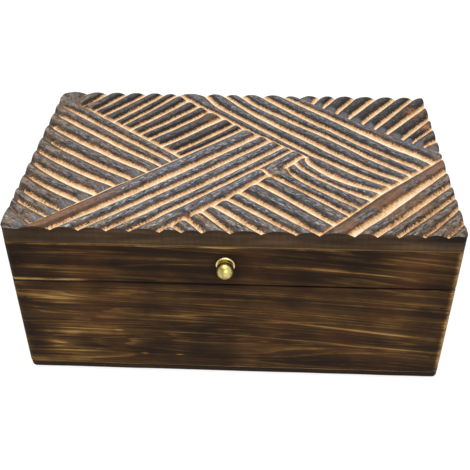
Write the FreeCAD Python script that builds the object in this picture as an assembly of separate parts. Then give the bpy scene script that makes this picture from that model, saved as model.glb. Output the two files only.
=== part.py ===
import FreeCAD, Part
import math
import os

# A carved wooden box: a hinged lid over a plain base, with a ball knob that turns a hidden catch.
# Millimetres. +X runs along the box, the front faces -Y and +Z is up.
# The origin is the middle of the underside.

# Outside sizes
box_length = 203.0
box_width = 128.5
bottom_thickness = 4.0
wall_height = 53.4
lid_gap = 0.4
rail_height = 21.1
panel_thickness = 9.9
wall_thickness = 9.5

# Eased edges of the boards
corner_radius = 2.0
bottom_edge_radius = 1.2
edge_ease = 0.5

# Carving of the lid: rounded reeds with sharp valleys between them
reed_pitch = 8.2
reed_depth = 2.2
reed_end_bevel = 2.4

# Butt hinges, let into the back boards
hinge_length = 25.0
hinge_inset = 40.0
leaf_thickness = 0.9
leaf_margin = 0.9
leaf_clearance = 0.1
pin_radius = 0.8
pin_clearance = 0.05
knuckle_count = 3
knuckle_gap = 0.2
barrel_clearance = 0.3
stop_angle = 106.0

# Hinge screws
screw_radius = 0.9
screw_length = 8.0
screw_head_radius = 1.6
screw_head_height = 0.7
screw_slot_width = 0.4
screw_slot_depth = 0.3
screw_spacing = 15.0
screw_clearance = 0.03

# Corner nails and the brads under the bottom board
nail_radius = 0.5
nail_length = 22.0
nail_head_radius = 0.75
nail_head_height = 0.6
nail_clearance = 0.02
base_nail_margin = 11.0
brad_length = 14.0
brad_rows = 3
brad_end_margin = 30.0

# Knob, collar and spindle
knob_offset = -2.8
knob_rise = 1.4
ball_radius = 3.7
ball_reach = 4.8
neck_radius = 1.9
collar_radius = 4.4
collar_thickness = 1.4
collar_rounding = 0.5
sleeve_radius = 2.5
sleeve_clearance = 0.02
spindle_radius = 1.4
spindle_clearance = 0.06
spindle_seat = 3.2
spindle_tail = 0.6
knob_gap = 0.2

# Catch on the spindle and the keeper pin in the base
washer_radius = 3.4
washer_thickness = 0.8
washer_gap = 0.1
hub_radius = 3.6
catch_thickness = 1.5
catch_arm_width = 2.4
catch_clearance = 0.4
catch_fit = 0.03
catch_turn = 90.0
hook_lead = 14.0
spoke_start = 10.0
spoke_end = 24.0
nut_across_flats = 5.0
nut_thickness = 2.0
keeper_radius = 1.25
keeper_drop = 3.0
keeper_seat = 5.0
keeper_reach = 0.8

# Places worked out from the sizes above
half_length = box_length / 2
half_width = box_width / 2
base_top = bottom_thickness + wall_height
lid_bottom = base_top + lid_gap
panel_bottom = lid_bottom + rail_height
box_top = panel_bottom + panel_thickness
valley_height = box_top - reed_depth
inner_front = -half_width + wall_thickness
inner_back = half_width - wall_thickness
side_inner = half_length - wall_thickness

knuckle_radius = pin_radius + leaf_thickness
hinge_setback = knuckle_radius + barrel_clearance
hinge_y = half_width - hinge_setback
hinge_z = base_top + lid_gap / 2
leaf_width = wall_thickness - hinge_setback - leaf_margin
stop_rise = hinge_setback * math.tan(math.radians(stop_angle / 2))

rail_middle = lid_bottom + rail_height / 2
knob_height = rail_middle + knob_rise
catch_back = inner_front + washer_gap + washer_thickness
catch_front = catch_back + catch_thickness
keeper_height = base_top - keeper_drop
keeper_distance = knob_height - keeper_height
catch_inner_radius = keeper_distance + keeper_radius + catch_clearance
catch_outer_radius = catch_inner_radius + catch_arm_width

# Corners of the carved patches, as shares of half the length and half the width from the middle
left_seam_outer = (-1.0, 0.945)
left_seam_inner = (-0.28, -0.03)
front_left_seam = (-0.946, -1.0)
back_left_seam = (-0.355, 1.0)
middle_seam = (0.34, 0.008)
back_right_seam = (0.35, 1.0)
right_lower_seam = (1.0, 0.012)
front_right_seam = (0.374, -1.0)
back_corner_reed_start = (0.665, 0.576)
back_corner_reed_end = (0.857, 1.0)

# Two of the seams run parallel to the reeds beside them
front_seam_slope = (left_seam_inner[1] - front_left_seam[1]) / (left_seam_inner[0] - front_left_seam[0])
back_seam_slope = (middle_seam[1] - back_left_seam[1]) / (middle_seam[0] - back_left_seam[0])
front_middle_seam = (middle_seam[0] - (middle_seam[1] + 1.0) / front_seam_slope, -1.0)
right_upper_seam = (1.0, 1.0 + (1.0 - back_right_seam[0]) * back_seam_slope)

up = FreeCAD.Vector(0, 0, 1)
backward = FreeCAD.Vector(0, 1, 0)
sideways = FreeCAD.Vector(1, 0, 0)


def vector(x, y, z):
    return FreeCAD.Vector(x, y, z)


def block(low, high):
    size = high - low
    return Part.makeBox(size.x, size.y, size.z, low)


def rod(radius, start, direction, length):
    return Part.makeCylinder(radius, length, start, direction)


def turned(profile, start, direction):
    # A profile of (distance along the axis, radius) points, turned about the axis.
    side = backward.cross(direction)
    if side.Length < 0.5:
        side = sideways
    points = [start + direction * along + side * radius for along, radius in profile]
    wire = Part.makePolygon(points + [points[0]])
    return Part.Face(wire).revolve(start, direction, 360)


def edges_where(shape, test):
    return [edge for edge in shape.Edges if test(edge.BoundBox)]


def is_level(low, high, place):
    tolerance = 1e-4
    return abs(low - place) < tolerance and abs(high - place) < tolerance


def save(name, shape):
    shape.exportStep("parts/" + name + ".step")


# Boards

def long_board(side, low_z, high_z):
    # A front (side -1) or back (side 1) board, the full length of the box.
    outer = side * half_width
    inner = side * (half_width - wall_thickness)
    board = block(vector(-half_length, min(outer, inner), low_z),
                  vector(half_length, max(outer, inner), high_z))
    upright = edges_where(board, lambda b: is_level(b.YMin, b.YMax, outer) and b.ZLength > 1)
    board = board.makeFillet(corner_radius, upright)
    long_edges = edges_where(
        board, lambda b: is_level(b.YMin, b.YMax, outer) and b.XLength > 2 * corner_radius)
    return board.makeChamfer(edge_ease, long_edges)


def side_board(side, low_z, high_z):
    # A left (side -1) or right (side 1) board, fitted between the long boards.
    outer = side * half_length
    inner = side * side_inner
    board = block(vector(min(outer, inner), inner_front, low_z),
                  vector(max(outer, inner), inner_back, high_z))
    long_edges = edges_where(board, lambda b: is_level(b.XMin, b.XMax, outer) and b.YLength > 1)
    return board.makeChamfer(edge_ease, long_edges)


def bottom_board():
    board = block(vector(-half_length, -half_width, 0), vector(half_length, half_width, bottom_thickness))
    upright = edges_where(board, lambda b: b.ZLength > 1)
    board = board.makeFillet(corner_radius, upright)
    lower = edges_where(board, lambda b: is_level(b.ZMin, b.ZMax, 0))
    return board.makeFillet(bottom_edge_radius, lower)


def stop_bevel(sign):
    # The wedge planed off the rear edge of a back board, below (-1) or above (1) the hinge line.
    corner = vector(-half_length, hinge_y, hinge_z)
    out = vector(-half_length, half_width + hinge_setback, hinge_z)
    tip = vector(-half_length, half_width + hinge_setback, hinge_z + sign * 2 * stop_rise)
    face = Part.Face(Part.makePolygon([corner, out, tip, corner]))
    return face.extrude(sideways * box_length)


# Carving

def plan(share, height):
    return vector(share[0] * half_length, share[1] * half_width, height)


def prism(corners, low, high):
    points = [plan(corner, low) for corner in corners]
    return Part.Face(Part.makePolygon(points + [points[0]])).extrude(up * (high - low))


def reed_patch(corners, first, second, ending_seams):
    # Rounded reeds that run from first to second, cut to the patch and bevelled where they end.
    start = plan(first, 0)
    along = (plan(second, 0) - start).normalize()
    across = up.cross(along)
    offsets = [across.dot(plan(corner, 0) - start) for corner in corners]
    valleys = [0.0]
    for extent in (min(offsets), max(offsets)):
        count = round(abs(extent) / reed_pitch)
        valleys += [extent * (index + 1) / count for index in range(count)]
    valleys.sort()
    origin = start - along * 2 * box_length

    def profile_point(offset, height):
        return origin + across * offset + up * height

    edges = []
    for low, high in zip(valleys, valleys[1:]):
        arc = Part.Arc(profile_point(low, valley_height), profile_point((low + high) / 2, box_top),
                       profile_point(high, valley_height))
        edges.append(arc.toShape())
    right_valley = profile_point(valleys[-1], valley_height)
    right_foot = profile_point(valleys[-1], panel_bottom)
    left_foot = profile_point(valleys[0], panel_bottom)
    left_valley = profile_point(valleys[0], valley_height)
    edges.append(Part.makeLine(right_valley, right_foot))
    edges.append(Part.makeLine(right_foot, left_foot))
    edges.append(Part.makeLine(left_foot, left_valley))
    face = Part.Face(Part.Wire(Part.__sortEdges__(edges)))
    patch = face.extrude(along * 4 * box_length).common(prism(corners, panel_bottom, box_top))
    middle = plan((sum(c[0] for c in corners) / len(corners), sum(c[1] for c in corners) / len(corners)), 0)
    for seam_start, seam_end in ending_seams:
        patch = patch.cut(end_bevel(plan(seam_start, 0), plan(seam_end, 0), middle))
    return patch


def end_bevel(seam_start, seam_end, inside):
    # The slope on the ends of the reeds, down to the valley along a seam.
    along = (seam_end - seam_start).normalize()
    inward = up.cross(along)
    if inward.dot(inside - seam_start) < 0:
        inward = -inward
    foot = seam_start + up * valley_height
    top = foot + up * reed_depth * 2
    shoulder = top + inward * reed_end_bevel * 2
    face = Part.Face(Part.makePolygon([foot, top, shoulder, foot]))
    return face.extrude(seam_end - seam_start)


def carved_panel():
    front_left = (-1.0, -1.0)
    front_right = (1.0, -1.0)
    back_left = (-1.0, 1.0)
    back_right = (1.0, 1.0)
    patches = [
        reed_patch([left_seam_outer, left_seam_inner, front_left_seam, front_left],
                   left_seam_outer, left_seam_inner,
                   [(left_seam_inner, front_left_seam)]),
        reed_patch([left_seam_outer, back_left, back_left_seam, middle_seam,
                    front_middle_seam, front_left_seam, left_seam_inner],
                   front_left_seam, left_seam_inner,
                   [(left_seam_outer, left_seam_inner), (back_left_seam, middle_seam)]),
        reed_patch([back_left_seam, back_right_seam, right_upper_seam, right_lower_seam,
                    front_right_seam, front_middle_seam, middle_seam],
                   back_left_seam, middle_seam,
                   [(front_middle_seam, middle_seam), (front_right_seam, right_lower_seam)]),
        reed_patch([front_right_seam, right_lower_seam, front_right],
                   front_right_seam, right_lower_seam, []),
        reed_patch([back_right_seam, back_right, right_upper_seam],
                   back_corner_reed_start, back_corner_reed_end,
                   [(back_right_seam, right_upper_seam)]),
    ]
    panel = patches[0].multiFuse(patches[1:]).removeSplitter()
    outline = block(vector(-half_length, -half_width, panel_bottom), vector(half_length, half_width, box_top))
    outline = outline.makeFillet(corner_radius, edges_where(outline, lambda b: b.ZLength > 1))
    return panel.common(outline)


# Hinges

def hinge_places():
    offset = half_length - hinge_inset
    return {"left": -offset, "right": offset}


def knuckle_spans(centre, owned_by_lid):
    # The lid leaf carries the odd knuckles, the base leaf the even ones.
    pitch = hinge_length / knuckle_count
    start = centre - hinge_length / 2
    spans = []
    for index in range(knuckle_count):
        if (index % 2 == 1) == owned_by_lid:
            spans.append((start + index * pitch + knuckle_gap / 2, pitch - knuckle_gap))
    return spans


def hinge_line(x):
    return vector(x, hinge_y, hinge_z)


def leaf_floor(on_lid):
    return (lid_bottom, lid_bottom + leaf_thickness) if on_lid else (base_top - leaf_thickness, base_top)


def screw_places(centre):
    y = hinge_y - (leaf_width + knuckle_radius) / 2
    return [(centre + side * screw_spacing / 2, y) for side in (-1, 1)]


def hinge_screw(x, y, on_lid, clearance):
    # A countersunk screw, head flush with the leaf, driven away from the joint.
    direction = up if on_lid else -up
    start = vector(x, y, lid_bottom if on_lid else base_top)
    profile = [(0, 0), (0, screw_head_radius + clearance), (screw_head_height, screw_radius + clearance),
               (screw_length + clearance, screw_radius + clearance), (screw_length + clearance, 0)]
    return turned(profile, start, direction)


def slotted_screw(x, y, on_lid):
    screw = hinge_screw(x, y, on_lid, 0)
    face = lid_bottom if on_lid else base_top
    slot = block(vector(x - screw_head_radius, y - screw_slot_width / 2, face - screw_slot_depth),
                 vector(x + screw_head_radius, y + screw_slot_width / 2, face + screw_slot_depth))
    return screw.cut(slot)


def hinge_leaf(centre, on_lid):
    floor, ceiling = leaf_floor(on_lid)
    leaf = block(vector(centre - hinge_length / 2, hinge_y - leaf_width, floor),
                 vector(centre + hinge_length / 2, hinge_y, ceiling))
    for start, length in knuckle_spans(centre, not on_lid):
        relief = rod(knuckle_radius + barrel_clearance, hinge_line(start - knuckle_gap), sideways,
                     length + 2 * knuckle_gap)
        leaf = leaf.cut(relief)
    knuckles = [rod(knuckle_radius, hinge_line(start), sideways, length)
                for start, length in knuckle_spans(centre, on_lid)]
    leaf = leaf.multiFuse(knuckles)
    bore = rod(pin_radius + pin_clearance, hinge_line(centre - hinge_length), sideways, 2 * hinge_length)
    leaf = leaf.cut(bore)
    for x, y in screw_places(centre):
        leaf = leaf.cut(hinge_screw(x, y, on_lid, screw_clearance))
    return leaf.removeSplitter()


def hinge_pin(centre):
    return rod(pin_radius, hinge_line(centre - hinge_length / 2), sideways, hinge_length)


def hinge_pockets(on_lid):
    # What is cut out of a back board for both hinges: leaf beds, barrel room and screw holes.
    floor, ceiling = leaf_floor(on_lid)
    cuts = []
    for centre in hinge_places().values():
        half_bed = hinge_length / 2 + leaf_clearance
        cuts.append(block(vector(centre - half_bed, hinge_y - leaf_width - leaf_clearance, floor),
                          vector(centre + half_bed, hinge_y, ceiling)))
        barrel_start = hinge_line(centre - half_bed)
        cuts.append(rod(knuckle_radius + barrel_clearance, barrel_start, sideways, 2 * half_bed))
        for x, y in screw_places(centre):
            cuts.append(hinge_screw(x, y, on_lid, screw_clearance))
    return cuts


# Nails

def nail(start, direction, length, clearance):
    profile = [(0, 0), (0, nail_head_radius + clearance), (nail_head_height, nail_head_radius + clearance),
               (nail_head_height, nail_radius + clearance), (length + clearance, nail_radius + clearance),
               (length + clearance, 0)]
    return turned(profile, start, direction)


def corner_nails(heights, clearance):
    nails = []
    x = half_length - wall_thickness / 2
    for side in (-1, 1):
        for end in (-1, 1):
            for height in heights:
                start = vector(end * x, side * half_width, height)
                nails.append(nail(start, -backward * side, nail_length, clearance))
    return nails


def bottom_brads(clearance):
    reach = half_length - brad_end_margin
    step = 2 * reach / (brad_rows - 1)
    y = half_width - wall_thickness / 2
    x = half_length - wall_thickness / 2
    places = [(-reach + index * step, side * y) for side in (-1, 1) for index in range(brad_rows)]
    places += [(side * x, 0) for side in (-1, 1)]
    return [nail(vector(px, py, 0), up, brad_length, clearance) for px, py in places]


# Knob and catch

def on_knob_axis(y):
    return vector(knob_offset, y, knob_height)


def knob():
    front = -half_width
    middle = front - ball_reach
    back = front - collar_thickness - knob_gap
    ball = Part.makeSphere(ball_radius, on_knob_axis(middle))
    ball = ball.cut(block(on_knob_axis(back) - vector(ball_radius, 0, ball_radius),
                          on_knob_axis(back) + vector(ball_radius, ball_radius, ball_radius)))
    neck = rod(neck_radius, on_knob_axis(back), -backward, back - middle)
    seat = rod(spindle_radius + catch_fit, on_knob_axis(back), -backward, spindle_seat)
    return ball.fuse(neck).cut(seat).removeSplitter()


def knob_collar():
    front = -half_width
    flange = rod(collar_radius, on_knob_axis(front - collar_thickness), backward, collar_thickness)
    outer = edges_where(flange, lambda b: is_level(b.YMin, b.YMax, front - collar_thickness))
    flange = flange.makeFillet(collar_rounding, outer)
    sleeve = rod(sleeve_radius, on_knob_axis(front), backward, wall_thickness)
    bore = rod(spindle_radius + spindle_clearance, on_knob_axis(front - collar_thickness), backward,
               collar_thickness + wall_thickness)
    return flange.fuse(sleeve).cut(bore).removeSplitter()


def knob_spindle():
    start = -half_width - collar_thickness - knob_gap - spindle_seat
    end = catch_front + nut_thickness + spindle_tail
    return rod(spindle_radius, on_knob_axis(start), backward, end - start)


def ring(outer_radius, start, thickness):
    disc = rod(outer_radius, on_knob_axis(start), backward, thickness)
    return disc.cut(rod(spindle_radius + catch_fit, on_knob_axis(start), backward, thickness))


def catch_nut():
    corner_distance = nut_across_flats / math.sqrt(3)
    corners = []
    for index in range(6):
        angle = math.radians(60 * index)
        corners.append(on_knob_axis(catch_front)
                       + vector(corner_distance * math.cos(angle), 0, corner_distance * math.sin(angle)))
    body = Part.Face(Part.makePolygon(corners + [corners[0]])).extrude(backward * nut_thickness)
    return body.cut(rod(spindle_radius + catch_fit, on_knob_axis(catch_front), backward, nut_thickness))


def crescent_catch():
    # Angles run from straight below the spindle, in the latched position, towards +X.
    # The piece is drawn turned back from there, clear of the keeper pin.
    def polar(radius, angle):
        turn = math.radians(angle + catch_turn)
        return on_knob_axis(catch_back) + vector(radius * math.sin(turn), 0, -radius * math.cos(turn))

    tip = -hook_lead
    outer_middle = (tip + spoke_end) / 2
    inner_middle = (tip + spoke_start) / 2
    tip_radius = (catch_inner_radius + catch_outer_radius) / 2
    tip_bulge = math.degrees(catch_arm_width / 2 / tip_radius)
    edges = [
        Part.Arc(polar(catch_outer_radius, tip), polar(catch_outer_radius, outer_middle),
                 polar(catch_outer_radius, spoke_end)).toShape(),
        Part.makeLine(polar(catch_outer_radius, spoke_end), polar(spindle_radius, spoke_end)),
        Part.makeLine(polar(spindle_radius, spoke_end), polar(spindle_radius, spoke_start)),
        Part.makeLine(polar(spindle_radius, spoke_start), polar(catch_inner_radius, spoke_start)),
        Part.Arc(polar(catch_inner_radius, spoke_start), polar(catch_inner_radius, inner_middle),
                 polar(catch_inner_radius, tip)).toShape(),
        Part.Arc(polar(catch_inner_radius, tip), polar(tip_radius, tip - tip_bulge),
                 polar(catch_outer_radius, tip)).toShape(),
    ]
    arm = Part.Face(Part.Wire(Part.__sortEdges__(edges))).extrude(backward * catch_thickness)
    hub = rod(hub_radius, on_knob_axis(catch_back), backward, catch_thickness)
    bore = rod(spindle_radius + catch_fit, on_knob_axis(catch_back), backward, catch_thickness)
    return arm.fuse(hub).cut(bore).removeSplitter()


def keeper_pin(clearance):
    start = vector(knob_offset, inner_front - keeper_seat - clearance, keeper_height)
    length = keeper_seat + clearance + catch_front - inner_front + keeper_reach
    return rod(keeper_radius + clearance, start, backward, length)


# Building the pieces

os.makedirs("parts", exist_ok=True)

base_nail_heights = [bottom_thickness + base_nail_margin, base_top - base_nail_margin]
lid_nail_heights = [rail_middle]

base_holes = corner_nails(base_nail_heights, nail_clearance) + bottom_brads(nail_clearance)
lid_holes = corner_nails(lid_nail_heights, nail_clearance)

save("bottom_board", bottom_board().cut(bottom_brads(nail_clearance)))
save("base_front_board", long_board(-1, bottom_thickness, base_top).cut(
    base_holes + [keeper_pin(nail_clearance)]))
save("base_back_board", long_board(1, bottom_thickness, base_top).cut(
    base_holes + [stop_bevel(-1)] + hinge_pockets(False)))
save("base_left_board", side_board(-1, bottom_thickness, base_top).cut(base_holes))
save("base_right_board", side_board(1, bottom_thickness, base_top).cut(base_holes))

sleeve_hole = rod(sleeve_radius + sleeve_clearance, on_knob_axis(-half_width), backward, wall_thickness)
save("lid_front_rail", long_board(-1, lid_bottom, panel_bottom).cut(lid_holes + [sleeve_hole]))
save("lid_back_rail", long_board(1, lid_bottom, panel_bottom).cut(
    lid_holes + [stop_bevel(1)] + hinge_pockets(True)))
save("lid_left_rail", side_board(-1, lid_bottom, panel_bottom).cut(lid_holes))
save("lid_right_rail", side_board(1, lid_bottom, panel_bottom).cut(lid_holes))
save("carved_lid_panel", carved_panel())

for name, centre in hinge_places().items():
    save(name + "_hinge_lower_leaf", hinge_leaf(centre, False))
    save(name + "_hinge_upper_leaf", hinge_leaf(centre, True))
    save(name + "_hinge_pin", hinge_pin(centre))

all_screw_places = [place for centre in hinge_places().values() for place in screw_places(centre)]
save("lower_hinge_screws", Part.makeCompound([slotted_screw(x, y, False) for x, y in all_screw_places]))
save("upper_hinge_screws", Part.makeCompound([slotted_screw(x, y, True) for x, y in all_screw_places]))

save("base_corner_nails", Part.makeCompound(corner_nails(base_nail_heights, 0)))
save("lid_corner_nails", Part.makeCompound(corner_nails(lid_nail_heights, 0)))
save("bottom_brads", Part.makeCompound(bottom_brads(0)))

save("knob", knob())
save("knob_collar", knob_collar())
save("knob_spindle", knob_spindle())
save("catch_washer", ring(washer_radius, inner_front + washer_gap, washer_thickness))
save("crescent_catch", crescent_catch())
save("catch_nut", catch_nut())
save("keeper_pin", keeper_pin(0))
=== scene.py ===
import math
from functools import partialmethod

import bpy
import numpy as np
from mathutils import Matrix, Vector
from mathutils.geometry import delaunay_2d_cdt


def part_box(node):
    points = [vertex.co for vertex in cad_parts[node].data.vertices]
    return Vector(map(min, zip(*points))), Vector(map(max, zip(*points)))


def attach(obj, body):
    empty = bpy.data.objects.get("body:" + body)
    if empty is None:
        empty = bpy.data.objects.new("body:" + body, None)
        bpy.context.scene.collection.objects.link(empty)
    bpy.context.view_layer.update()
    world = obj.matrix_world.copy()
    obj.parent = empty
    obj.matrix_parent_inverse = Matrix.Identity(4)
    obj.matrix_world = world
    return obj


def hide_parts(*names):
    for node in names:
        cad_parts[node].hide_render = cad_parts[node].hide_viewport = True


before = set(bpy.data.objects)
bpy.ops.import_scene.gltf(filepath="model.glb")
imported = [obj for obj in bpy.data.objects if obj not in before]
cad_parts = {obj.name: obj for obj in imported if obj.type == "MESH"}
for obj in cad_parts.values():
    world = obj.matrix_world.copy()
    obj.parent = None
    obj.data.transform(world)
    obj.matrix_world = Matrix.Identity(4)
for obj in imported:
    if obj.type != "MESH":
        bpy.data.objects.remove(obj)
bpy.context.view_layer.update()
print("frame loaded:", len(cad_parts), "nodes")

# Shapes are worked out in millimetres in the frame's axes: +X along the box, front towards -Y, +Z up
mm = 0.001


def boxMm(node):
    low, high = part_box(node)
    return np.array(low) / mm, np.array(high) / mm


panelLow, panelHigh = boxMm("carved_lid_panel")
railLow, railHigh = boxMm("lid_front_rail")
baseLow, baseHigh = boxMm("base_front_board")
sideLow = boxMm("base_right_board")[0]
bottomHigh = boxMm("bottom_board")[1]
halfLength, halfWidth = panelHigh[0], panelHigh[1]
boardThickness = baseHigh[1] - baseLow[1]
jointHeight = (baseHigh[2] + railLow[2]) / 2


# Random but repeatable unevenness: a seeded lattice with one value from -1 to 1 every 'size', eased between
def lumps(x, y, size, seed):
    count = 97
    lattice = np.random.default_rng(seed).uniform(-1, 1, (count, count))
    gx, gy = np.asarray(x) / size, np.asarray(y) / size
    ix, iy = np.floor(gx).astype(int), np.floor(gy).astype(int)
    fx, fy = gx - ix, gy - iy
    fx, fy = fx * fx * (3 - 2 * fx), fy * fy * (3 - 2 * fy)
    near = lattice[ix % count, iy % count] * (1 - fx) + lattice[(ix + 1) % count, iy % count] * fx
    far = lattice[ix % count, (iy + 1) % count] * (1 - fx) + lattice[(ix + 1) % count, (iy + 1) % count] * fx
    return near * (1 - fy) + far * fy


# A mesh from points in millimetres and arrays of faces, one array for each number of corners
def buildMesh(name, points, *faceArrays):
    corners = np.concatenate([np.asarray(faces).ravel() for faces in faceArrays]).astype(np.int32)
    sizes = np.concatenate([np.full(len(faces), np.asarray(faces).shape[1]) for faces in faceArrays])
    mesh = bpy.data.meshes.new(name)
    mesh.vertices.add(len(points))
    mesh.vertices.foreach_set("co", (np.asarray(points) * mm).astype(np.float32).ravel())
    mesh.loops.add(len(corners))
    mesh.loops.foreach_set("vertex_index", corners)
    mesh.polygons.add(len(sizes))
    mesh.polygons.foreach_set("loop_start", (np.cumsum(sizes) - sizes).astype(np.int32))
    mesh.update(calc_edges=True)
    mesh.validate()
    return mesh


# A mesh from a grid of points whose rows close round; the end rows are capped unless the rows close round too
def tubeMesh(name, points, outward=True, closeRows=False):
    rows = np.arange(points.shape[0] * points.shape[1]).reshape(points.shape[:2])
    here, after = (rows, np.roll(rows, -1, axis=0)) if closeRows else (rows[:-1], rows[1:])
    quads = np.stack([here, np.roll(here, -1, axis=1), np.roll(after, -1, axis=1), after], -1).reshape(-1, 4)
    faces = [quads] if closeRows else [quads, rows[:1, ::-1], rows[-1:]]
    return buildMesh(name, points.reshape(-1, 3), *(face if outward else face[:, ::-1] for face in faces))


def addObject(name, data):
    made = bpy.data.objects.new(name, data)
    bpy.context.scene.collection.objects.link(made)
    return made


def addPiece(name, mesh, body, nodes, materials, sharpAngle=35):
    mesh.shade_smooth()
    mesh.set_sharp_from_angle(angle=math.radians(sharpAngle))
    for material in materials:
        mesh.materials.append(material)
    piece = addObject(name, mesh)
    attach(piece, body)
    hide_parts(*nodes)


# A shader value: a node's output, with arithmetic that adds the nodes it needs
class Value:
    def __init__(self, tree, socket):
        self.tree, self.socket = tree, socket

    def calc(self, operation, other=0.0):
        return addNode(self.tree, "Math", {0: self, 1: other}, operation=operation)

    __add__ = partialmethod(calc, "ADD")
    __sub__ = partialmethod(calc, "SUBTRACT")
    __mul__ = partialmethod(calc, "MULTIPLY")
    __lt__ = partialmethod(calc, "LESS_THAN")
    __gt__ = partialmethod(calc, "GREATER_THAN")
    __abs__ = partialmethod(calc, "ABSOLUTE")


def startMaterial(name):
    material = bpy.data.materials.new(name)
    material.use_nodes = True
    tree = material.node_tree
    tree.nodes.clear()
    return material, addNode(tree, "TexCoord", output="Object")


def addNode(tree, kind, feeds=None, output=0, **settings):
    made = tree.nodes.new("ShaderNode" + kind)
    for key, value in settings.items():
        setattr(made, key, value)
    for key, value in (feeds or {}).items():
        if isinstance(value, Value):
            tree.links.new(value.socket, made.inputs[key])
        else:
            made.inputs[key].default_value = value
    return Value(tree, made.outputs[output]) if len(made.outputs) else None


# A colour given as red, green and blue from 0 to 255, made linear; a shader value is passed on
def paint(colour):
    if isinstance(colour, Value):
        return colour
    srgb = np.array(colour) / 255
    linear = np.where(srgb <= 0.04045, srgb / 12.92, ((srgb + 0.055) / 1.055) ** 2.4)
    return (*linear.tolist(), 1.0)


def axesOf(vector):
    split = addNode(vector.tree, "SeparateXYZ", {0: vector}).socket.node
    return [Value(vector.tree, axis) for axis in split.outputs]


# 1 on faces that look up, -1 on faces that look down
def facingUp(places):
    return axesOf(addNode(places.tree, "TexCoord", output="Normal"))[2]


def blend(amount, first, second):
    return addNode(amount.tree, "Mix", {0: amount, 6: paint(first), 7: paint(second)}, 2, data_type="RGBA")


def remap(value, low, high, outLow=0.0, outHigh=1.0, kind="SMOOTHSTEP"):
    feeds = {"Value": value, "From Min": low, "From Max": high, "To Min": outLow, "To Max": outHigh}
    return addNode(value.tree, "MapRange", feeds, interpolation_type=kind)


# A ramp through a finish's colours: place from 0 to 1 and colour name
def colours(value, finish, stops):
    ramp = addNode(value.tree, "ValToRGB", {0: value})
    elements = ramp.socket.node.color_ramp.elements
    while len(elements) < len(stops):
        elements.new(0.5)
    for element, (place, name) in zip(elements, stops.items()):
        element.position = place
        element.color = paint(finish[name])
    return ramp


# Noise of so many waves a metre along each axis
def grainNoise(vector, stretch, detail, roughness, distortion=0.0):
    stretched = addNode(vector.tree, "Mapping", {"Vector": vector, "Scale": stretch})
    return addNode(vector.tree, "TexNoise", {"Vector": stretched, "Scale": 1.0, "Detail": detail,
                                             "Roughness": roughness, "Distortion": distortion})


# 1 at the centre, falling to 0 at the half sizes (millimetres, turn in degrees)
def softSpot(places, centre, turn, halfSizes):
    feeds = {"Vector": places, "Location": [part * mm for part in centre],
             "Rotation": [math.radians(part) for part in turn], "Scale": [part * mm for part in halfSizes]}
    local = addNode(places.tree, "Mapping", feeds, vector_type="TEXTURE")
    return addNode(places.tree, "TexGradient", {0: local}, 1, gradient_type="SPHERICAL")


def plainWood(fibres, bands, dark, pale):
    return blend(remap(bands + (fibres - 0.5) * 0.6, 0.25, 0.75), dark, pale)


# bumps: height, strength and distance of each
def finishSurface(colour, roughness, bumps, specular=0.5, metallic=0.0):
    feeds = {}
    for height, strength, distance in bumps:
        feeds.update({"Height": height, "Strength": strength, "Distance": distance})
        feeds = {"Normal": addNode(colour.tree, "Bump", feeds)}
    feeds.update({"Base Color": colour, "Roughness": roughness, "Specular IOR Level": specular,
                  "Metallic": metallic})
    addNode(colour.tree, "OutputMaterial", {"Surface": addNode(colour.tree, "BsdfPrincipled", feeds)})


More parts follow.
